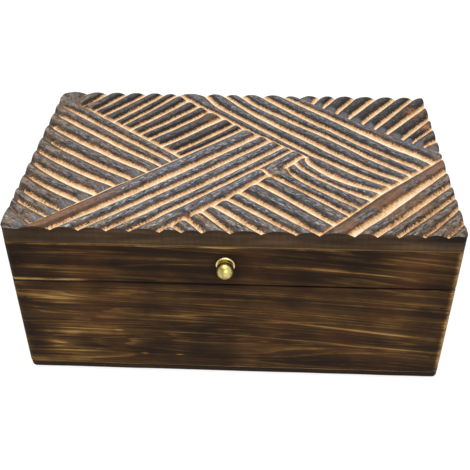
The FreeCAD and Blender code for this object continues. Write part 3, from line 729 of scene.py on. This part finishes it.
# Boards
burntFinish = {
    "black": (26, 18, 13), "dark": (50, 35, 23), "brown": (84, 60, 35), "gold": (132, 98, 54),
    "paleGold": (196, 154, 92), "red": (84, 48, 32), "insideDark": (150, 112, 74), "insidePale": (192, 152, 106),
    # golden places on the front: x, z, half length, half height, turn in degrees, strength (below 0 is darker:
    # scorched wood, and round the knob partly painted shadow)
    "goldAndShadowPlaces": [(-84, 46.6, 20, 3.6, 6, 0.42), (-82, 13.0, 26, 7.0, 8, 0.42), (-43, 11.8, 2.8, 0.9, 0, 0.5),
                   (-26, 11.7, 3.0, 0.8, 0, 0.5), (-54.5, 27.2, 3.0, 0.8, 0, 0.4), (16, 22, 4.0, 1.0, 3, 0.35),
                   (-70, 27.6, 30, 0.7, 1, 0.4), (-78, 28, 40, 34, 0, 0.18),
                   (-21, 36.8, 34, 0.9, 3, 0.4), (-21, 26.6, 34, 0.8, 2, 0.36), (52, 31.8, 64, 1.0, 7.4, 0.45),
                   (52, 21.4, 64, 1.0, 5.1, 0.45), (84, 75.2, 18, 1.0, 4, 0.2), (60, 66.0, 45, 0.9, 5, 0.3),
                   # the darker place round the knob is partly char and partly painted shadow of the knob and collar
                   (0, 68.5, 11, 8.5, 0, -0.5), (-98, 28, 9, 11, 0, -0.3), (-95, 16, 9, 7, 0, -0.35),
                   (82, 20, 26, 16, 0, 0.08)],
    # edges rubbed back to pale wood: which edge, reach, strength, x where it starts and where it is full
    "rubbedEdges": [("lidLow", 2.1, 1.1, -0.062, -0.08), ("baseHigh", 0.9, 0.35, 0.07, 0.094),
                    ("baseHigh", 0.6, -0.4, -0.13, -0.11), ("lidHigh", 0.8, 0.5, 0.1, -0.02),
                    ("lidHigh", 0.8, -0.12, -0.06, -0.09), ("baseLow", 0.7, 0.2, -0.1, 0.1)],
}


# grain is the axis it runs along; tilt leans it in degrees
def burntWoodMaterial(name, grain, finish, tilt=0.0, withGoldAndShadow=False):
    material, places = startMaterial(name)
    x, y, z = axesOf(places)
    lean = math.tan(math.radians(tilt))
    tilted = addNode(places.tree, "CombineXYZ", {0: x, 1: y, 2: z + x * lean + x * x * (4 * lean)})

    def stretched(along, across):
        return (along, across, across) if grain == "x" else (across, along, across)

    bands = grainNoise(tilted, stretched(4, 170), 3, 0.55, 0.5)
    fibres = grainNoise(tilted, stretched(16, 1250), 4, 0.65)
    flecks = grainNoise(tilted, stretched(110, 1500), 2, 0.5)
    clouds = grainNoise(places, (22, 22, 22), 3, 0.55)
    smoke = grainNoise(tilted, stretched(45, 95), 4, 0.6)
    rings = grainNoise(tilted, stretched(3, 70), 2, 0.45, 0.6)
    tone = (remap(z, 0.056, 0.059, 0.345, 0.27) + (bands - 0.5) * 0.8 + (fibres - 0.5) * 0.56
            + (smoke - 0.5) * 0.52 + (clouds - 0.5) * 0.7)
    # growth rings: each fades in slowly and ends in a thin golden line
    growth = (rings * 14.0).calc("FRACT")
    ringLine = remap(growth, 0.5, 0.92) * remap(growth, 1.0, 0.94) * remap(smoke, 0.3, 0.62, 0.2, 1.0)
    tone = tone + ringLine * 0.25
    # golden streaks and darker places on the front; the one round the knob is partly painted shadow
    if withGoldAndShadow:
        streaks = remap(fibres, 0.25, 0.7, 0.35, 1.3)
        for gx, gz, long, high, turn, strength in finish["goldAndShadowPlaces"]:
            spot = softSpot(places, (gx, -halfWidth, gz), (0, turn, 0), (long, 20, high))
            tone = tone + spot * streaks * strength
    # wear and painted highlight: upright corners are paler, partly sanded back and partly a painted highlight on
    # their rounding, stronger towards the right; the edges along the joints are sanded back to paler wood
    farX, farY = abs(x), abs(y)

    def outward(begin, full):
        return (remap(farX, (halfLength - begin) * mm, (halfLength - full) * mm)
                * remap(farY, (halfWidth - begin) * mm, (halfWidth - full) * mm))

    # paler upright corners: sanded wear together with a painted highlight on the rounding, stronger to the right
    tone = tone + outward(3.4, 0.9) * remap(x, -0.08, 0.09, 0.12, 1.0) * remap(clouds, 0.3, 0.65, 0.35, 0.55)
    levels = {"lidLow": railLow[2], "baseHigh": baseHigh[2], "lidHigh": railHigh[2], "baseLow": bottomHigh[2]}
    for edge, reach, strength, begin, full in finish["rubbedEdges"]:
        inward = 1 if edge in ("lidLow", "baseLow") else -1
        distance = (z - float(levels[edge]) * mm) * inward
        line = remap(distance, reach * mm, 0.15 * mm) * remap(x, begin, full) * (distance > -0.35 * mm)
        tone = tone + line * remap(smoke, 0.3, 0.6, 0.55, 1.0) * strength
    colour = colours(tone, finish, {0.0: "black", 0.3: "dark", 0.52: "brown", 0.74: "gold", 1.0: "paleGold"})
    colour = blend(remap(clouds, 0.52, 0.72) * 0.45, colour, finish["red"])
    # inside faces and the faces of the joint are plain wood
    inside = (farX < (float(sideLow[0]) + 0.4) * mm) * (farY < (halfWidth - boardThickness + 0.4) * mm)
    joint = (abs(z - float(jointHeight) * mm) < 0.9 * mm) * (abs(facingUp(places)) > 0.8) * outward(1, 3)
    plain = plainWood(fibres, bands, finish["insideDark"], finish["insidePale"])
    colour = blend(inside.calc("MAXIMUM", joint), colour, plain)
    bumps = [(fibres, 0.3, 0.0004), (bands, 0.2, 0.0006), (flecks, 0.15, 0.0002)]
    finishSurface(colour, remap(fibres, 0.2, 0.8, 0.5, 0.7), bumps, 0.08)
    return material


boards = {
    "edgeEase": 0.55,        # radius on the long edges
    "endEase": 0.4,          # radius on the other edges of the ends
    "cornerRadius": 2.4,     # radius on the outer upright corners
    "faceSamples": 18,
    "alongStep": 3.0,
    "hollow": 0.14,          # unevenness of the planed faces
    "skew": 0.22,            # the joint opens this much towards the right on each side
    "under": 0.03,           # faces stay this far inside the solids, so nail heads lie on top
}


# Rounded rectangle as shares: across and up from 0 to 1 between the arc centres, plus the outward direction
def sectionLoop(samples):
    quarter = np.radians(np.linspace(0, 90, 5))
    sides = []
    for index, (start, end) in enumerate([((0, 0), (1, 0)), ((1, 0), (1, 1)), ((1, 1), (0, 1)), ((0, 1), (0, 0))]):
        t = np.linspace(0, 1, samples)[:, None]
        facing = math.radians(-90 + 90 * index)
        straight = np.array(start) * (1 - t) + np.array(end) * t
        sides.append(np.hstack([straight, np.tile([math.cos(facing), math.sin(facing)], (samples, 1))]))
        arc = facing + quarter[1:-1]
        sides.append(np.hstack([np.tile(end, (len(arc), 1)), np.cos(arc)[:, None], np.sin(arc)[:, None]]))
    return np.concatenate(sides)


# A quarter-round drawn in at a board's end: how far the section steps back at a distance from the end
def stepBack(distance, radius):
    return radius - np.sqrt(np.maximum(radius ** 2 - (radius - np.minimum(distance, radius)) ** 2, 0))


# A board: its rounded-rectangle section carried along its length, with rounded ends and uneven faces.
# place = section point between the arc centres + ease * outward direction - unevenness * outward direction
def boardMesh(name, low, high, axis, outerSide, spec, seed, skewLow=0.0, skewHigh=0.0, roundEnds=True):
    fine = np.array([0, 0.08, 0.25, 0.55, 0.95, 1.4, 1.9, 2.4, 3.2])
    length = high[axis] - low[axis]
    inner = np.linspace(5, length - 5, int((length - 10) / spec["alongStep"]) + 2)
    stations = np.concatenate([fine, inner, length - fine[::-1]])
    fromEnd = np.minimum(stations, length - stations)
    loop = sectionLoop(spec["faceSamples"])
    ease = spec["edgeEase"]
    cross = 1 - axis
    endEase = stepBack(fromEnd, spec["endEase"])
    outerStep = stepBack(fromEnd, spec["cornerRadius"]) if roundEnds else endEase
    lowStep = outerStep if outerSide < 0 else endEase
    highStep = outerStep if outerSide > 0 else endEase
    share = (stations / length * 2 - 1)[:, None]
    a0 = (low[cross] + lowStep + ease)[:, None]
    a1 = (high[cross] - highStep - ease)[:, None]
    z0 = (low[2] + endEase + ease)[:, None] + skewLow * share
    z1 = (high[2] - endEase - ease)[:, None] + skewHigh * share
    across = a0 + (a1 - a0) * loop[:, 0] + ease * loop[:, 2]
    upward = z0 + (z1 - z0) * loop[:, 1] + ease * loop[:, 3]
    along = np.broadcast_to((low[axis] + stations)[:, None], across.shape)
    uneven = spec["under"] + spec["hollow"] * (1 + 0.7 * lumps(along, upward, 22, seed)
                                              + 0.3 * lumps(along, upward, 6, seed + 1)) / 2
    across = across - uneven * loop[:, 2]
    upward = upward - 0.5 * uneven * loop[:, 3]
    points = np.zeros((*across.shape, 3))
    points[..., axis], points[..., cross], points[..., 2] = along, across, upward
    return tubeMesh(name, points, outward=axis == 0)


frontWood = burntWoodMaterial("burntFront", "x", burntFinish, tilt=3.0, withGoldAndShadow=True)
longWood = burntWoodMaterial("burntLong", "x", burntFinish, tilt=1.5)
sideWood = burntWoodMaterial("burntSide", "y", burntFinish)

for node, axis, outerSide, material, body, seed, skews in [
        ("base_front_board", 0, -1, frontWood, "base", 31, (0.0, -boards["skew"])),
        ("lid_front_rail", 0, -1, frontWood, "lid", 33, (boards["skew"], 0.0)),
        ("base_left_board", 1, -1, sideWood, "base", 35, (0.0, 0.0)),
        ("base_right_board", 1, 1, sideWood, "base", 37, (0.0, 0.0)),
        ("lid_left_rail", 1, -1, sideWood, "lid", 39, (0.0, 0.0)),
        ("lid_right_rail", 1, 1, sideWood, "lid", 41, (0.0, 0.0))]:
    low, high = boxMm(node)
    mesh = boardMesh(node + "_planed", low, high, axis, outerSide, boards, seed, *skews, roundEnds=axis == 0)
    addPiece(node + "_planed", mesh, body, [node], [material])
print("boards made")

# Bottom board: the outline with its corners rounded, and an edge profile of inset and height carried round it
bottomPlate = {
    "corners": {(-1, -1): 3.2, (1, -1): 2.6, (1, 1): 3.0, (-1, 1): 3.0},
    "edgeRound": 1.7, "topEase": 0.3, "rough": 0.08, "step": 2.5, "seed": 51,
}


def bottomPlateMesh(spec):
    arcs = []
    for (sx, sy), begin in {(1, -1): -90, (1, 1): 0, (-1, 1): 90, (-1, -1): 180}.items():
        radius = spec["corners"][(sx, sy)]
        angle = np.radians(begin + np.linspace(0, 90, 10))
        centre = np.array([sx * (halfLength - radius), sy * (halfWidth - radius)])
        direction = np.stack([np.cos(angle), np.sin(angle)], -1)
        arcs.append((centre + radius * direction, direction))
    ringPath, ringOut = [], []
    for index, (arc, direction) in enumerate(arcs):
        start, end = arc[-1], arcs[(index + 1) % 4][0][0]
        count = int(np.hypot(*(end - start)) / spec["step"])
        share = (np.arange(1, count) / count)[:, None]
        ringPath += [arc, start + (end - start) * share]
        ringOut += [direction, np.tile(direction[-1], (count - 1, 1))]
    ringPath, ringOut = np.concatenate(ringPath), np.concatenate(ringOut)
    quarter = np.radians(np.linspace(0, 90, 6))
    radius, ease, thick = spec["edgeRound"], spec["topEase"], bottomHigh[2]
    inset = np.concatenate([ease * (1 - np.sin(quarter)), [0.0, 0.0], radius * (1 - np.cos(quarter))])
    level = np.concatenate([thick - ease * (1 - np.cos(quarter)), [thick * 0.72, thick * 0.5],
                            radius * (1 - np.sin(quarter))])
    walk = np.arange(len(ringPath)) * spec["step"]
    rough = spec["rough"] * (1 + lumps(walk, 0 * walk, 14, spec["seed"]))
    points = np.zeros((len(inset), len(ringPath), 3))
    points[..., :2] = ringPath - ringOut * (inset[:, None] + rough)[..., None]
    points[..., 2] = level[:, None]
    return tubeMesh("bottom_plate", points, outward=False)


bottomFinish = {"dark": (26, 18, 12), "mid": (46, 33, 22), "light": (70, 51, 33), "insideDark": (150, 112, 74),
                "insidePale": (190, 150, 104), "under": (120, 92, 64)}


def bottomMaterial(finish):
    material, places = startMaterial("bottomWood")
    up = facingUp(places)
    plies = grainNoise(places, (14, 14, 700), 4, 0.6)
    fibres = grainNoise(places, (30, 800, 800), 5, 0.65)
    bands = grainNoise(places, (8, 120, 120), 3, 0.55)
    edge = colours(plies, finish, {0.3: "dark", 0.52: "mid", 0.75: "light"})
    inside = plainWood(fibres, bands, finish["insideDark"], finish["insidePale"])
    colour = blend(remap(up, 0.8, 0.95), edge, inside)
    colour = blend(remap(up, -0.8, -0.97), colour, plainWood(fibres, bands, finish["mid"], finish["under"]))
    finishSurface(colour, remap(fibres, 0.2, 0.8, 0.52, 0.7), [(fibres, 0.3, 0.0004)], 0.1)
    return material


bottomWood = bottomMaterial(bottomFinish)
addPiece("bottom_plate", bottomPlateMesh(bottomPlate), "base", ["bottom_board"], [bottomWood])
print("bottom made")

# Brass: bright and dull colour, smoothest and roughest
brassFinish = {
    "polishedBrass": ((212, 196, 126), (132, 116, 62), 0.2, 0.38),
    "collarBrass": ((226, 213, 160), (182, 165, 104), 0.18, 0.34),
    "satinBrass": ((176, 150, 86), (120, 98, 54), 0.3, 0.5),
}


def brassMaterial(name, bright, dull, smoothest, roughest):
    material, places = startMaterial(name)
    tarnish = grainNoise(places, (330, 330, 330), 4, 0.6)
    scratches = grainNoise(places, (900, 5000, 900), 3, 0.6)
    amount = tarnish + (scratches - 0.5) * 0.3
    colour = blend(remap(amount, 0.3, 0.75), bright, dull)
    roughness = remap(amount, 0.25, 0.8, smoothest, roughest)
    finishSurface(colour, roughness, [(scratches, 0.06, 0.0001)], metallic=1.0)
    return material


polishedBrass, collarBrass, satinBrass = (brassMaterial(name, *finish) for name, finish in brassFinish.items())

knobLow, knobHigh = boxMm("knob")
collarLow, collarHigh = boxMm("knob_collar")
knobAxis = ((knobLow[0] + knobHigh[0]) / 2, (collarLow[2] + collarHigh[2]) / 2)
turnedKnob = {
    "ballRadius": (knobHigh[0] - knobLow[0]) / 2 * 1.1,    # a little fuller than the solid's ball
    "neckRadius": 2.3, "neckFoot": 0.2, "segments": 96,
    "collarRadius": (collarHigh[2] - collarLow[2]) / 2,
    "collarFront": collarLow[1], "lip": 0.62, "sleeveRadius": 2.5, "bore": 1.46,
    "groove": (3.2, 2.95, 2.6, 2.4), "grooveDepth": 0.18,    # radii of the groove round the neck
    "ballSweep": (1.5, 140),     # degrees from the front of the ball to the neck
}


# A turned surface: a profile of (y, radius) points carried round the knob's axis
def turnedMesh(name, profile, segments, closeRing=False):
    along, radius = np.array(profile).T[..., None]
    angle = np.linspace(0, 2 * np.pi, segments, endpoint=False)
    points = np.stack([knobAxis[0] + radius * np.cos(angle), np.broadcast_to(along, (len(profile), segments)),
                       knobAxis[1] + radius * np.sin(angle)], -1)
    return tubeMesh(name, points, closeRows=closeRing)


def knobProfile(spec):
    radius = spec["ballRadius"]
    centre = knobLow[1] + radius
    back = spec["collarFront"] - spec["neckFoot"]
    angle = np.radians(np.linspace(*spec["ballSweep"], 60))
    ball = np.stack([centre - radius * np.cos(angle), radius * np.sin(angle)], -1)
    neckStart = ball[-1]
    t = np.linspace(0, 1, 8)[1:, None]
    neck = neckStart + (np.array([back, spec["neckRadius"]]) - neckStart) * t
    return np.concatenate([ball, neck])


def collarProfile(spec):
    front, back, wall = spec["collarFront"], collarHigh[1], -halfWidth
    rim, lip, floor = spec["collarRadius"], spec["lip"], front + spec["grooveDepth"]
    quarter = np.radians(np.linspace(0, 90, 9))
    outer = np.stack([front + lip - lip * np.sin(quarter), rim - lip + lip * np.cos(quarter)], -1)
    return [(back, spec["bore"]), (back, spec["sleeveRadius"]), (wall, spec["sleeveRadius"]), (wall, rim),
            *outer.tolist(), *zip((front, floor, floor, front), spec["groove"]), (front, spec["bore"])]


addPiece("turned_knob", turnedMesh("turned_knob", knobProfile(turnedKnob), turnedKnob["segments"]), "catch",
         ["knob"], [polishedBrass], 50)
addPiece("turned_collar", turnedMesh("turned_collar", collarProfile(turnedKnob), turnedKnob["segments"], True),
         "lid", ["knob_collar"], [collarBrass], 40)
print("knob and collar made")

# CAD nodes that stay, with their finishes
nailFinish = {"dark": (30, 23, 17), "rust": (58, 42, 29)}


def nailMaterial(finish):
    material, places = startMaterial("nailIron")
    spots = grainNoise(places, (900, 900, 900), 4, 0.6)
    colour = blend(remap(spots, 0.35, 0.7), finish["dark"], finish["rust"])
    finishSurface(colour, remap(spots, 0.2, 0.8, 0.4, 0.7), [(spots, 0.2, 0.0002)], 0.1, 0.2)
    return material


nailIron = nailMaterial(nailFinish)
keptNodes = {
    longWood: ["base_back_board", "lid_back_rail"],
    satinBrass: [side + part for side in ("left", "right")
                 for part in ("_hinge_lower_leaf", "_hinge_upper_leaf", "_hinge_pin")]
                + ["lower_hinge_screws", "upper_hinge_screws", "knob_spindle", "catch_washer", "crescent_catch",
                   "catch_nut", "keeper_pin"],
    nailIron: ["base_corner_nails", "lid_corner_nails", "bottom_brads"],
}
for material, names in keptNodes.items():
    for nodeName in names:
        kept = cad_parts[nodeName]
        kept.data.materials.clear()
        kept.data.materials.append(material)
print("kept nodes finished")

# Stage: a white floor and backdrop, soft light from above and in front
stageLight = {
    "world": 0.5, "floorGlow": 0.8, "floorColour": (0.3, 0.3, 0.3, 1.0), "floorSize": 6.0,
    "floorLevel": -0.3,      # millimetres, just under the box
    # name, place, aim, size, watts, colour
    "lamps": [("overhead", (-0.1, -0.1, 1.1), (0.0, 0.0, 0.06), 0.9, 8.5, (0.98, 0.99, 1.0)),
              ("frontFill", (0.35, -1.1, 0.75), (0.0, 0.0, 0.05), 0.8, 5.0, (1.0, 0.98, 0.95))],
}


def seenDirectly(tree):
    seen, shiny, through = (addNode(tree, "LightPath", output="Is %s Ray" % kind)
                            for kind in ("Camera", "Glossy", "Transmission"))
    return seen.calc("MAXIMUM", shiny.calc("MAXIMUM", through))


def makeStage(spec):
    size = spec["floorSize"] / mm
    level = spec["floorLevel"]
    corners = [(-size, -size, level), (size, -size, level), (size, size, level), (-size, size, level)]
    mesh = buildMesh("floor", corners, [[0, 1, 2, 3]])
    material, places = startMaterial("paleFloor")
    tree = places.tree
    matte = addNode(tree, "BsdfDiffuse", {"Color": spec["floorColour"]})
    glow = addNode(tree, "Emission", {"Color": (1, 1, 1, 1), "Strength": seenDirectly(tree) * spec["floorGlow"]})
    addNode(tree, "OutputMaterial", {"Surface": addNode(tree, "AddShader", {0: matte, 1: glow})})
    mesh.materials.append(material)
    floor = addObject("floor", mesh)

    world = bpy.data.worlds.new("studio")
    bpy.context.scene.world = world
    world.use_nodes = True
    tree = world.node_tree
    tree.nodes.clear()
    strength = remap(seenDirectly(tree), 0.0, 1.0, spec["world"], 1.0, "LINEAR")
    sky = addNode(tree, "Background", {"Color": (1, 1, 1, 1), "Strength": strength})
    addNode(tree, "OutputWorld", {"Surface": sky})

    for name, place, aim, lampSize, watts, colour in spec["lamps"]:
        lamp = bpy.data.lights.new(name, "AREA")
        lamp.shape = "SQUARE"
        lamp.size = lampSize
        lamp.energy = watts
        lamp.color = colour
        holder = addObject(name, lamp)
        holder.location = place
        holder.rotation_euler = (Vector(aim) - Vector(place)).to_track_quat("-Z", "Y").to_euler()


makeStage(stageLight)
print("stage made")

# Camera at the photograph's viewing angle
photoCamera = {"azimuth": 2.377, "elevation": 37.095, "roll": -0.073, "distance": 0.40893,
               "target": (-0.00119, 0.0, 0.03758), "focalPixels": 759.4, "imagePixels": 470, "sensor": 36.0}


def makeCamera(spec):
    a, e, roll = (math.radians(spec[key]) for key in ("azimuth", "elevation", "roll"))
    back = Vector((math.sin(a) * math.cos(e), -math.cos(a) * math.cos(e), math.sin(e)))
    right = Vector((math.cos(a), math.sin(a), 0))
    up = back.cross(right)
    right, up = math.cos(roll) * right + math.sin(roll) * up, math.cos(roll) * up - math.sin(roll) * right
    data = bpy.data.cameras.new("photoCamera")
    data.sensor_width = spec["sensor"]
    data.lens = spec["focalPixels"] / spec["imagePixels"] * spec["sensor"]
    data.clip_start = 0.01
    camera = addObject("photoCamera", data)
    turn = Matrix((right, up, back)).transposed().to_4x4()
    camera.matrix_world = Matrix.Translation(Vector(spec["target"]) + back * spec["distance"]) @ turn
    bpy.context.scene.camera = camera


makeCamera(photoCamera)
bpy.context.scene.view_settings.view_transform = "Standard"

print("scene ready")
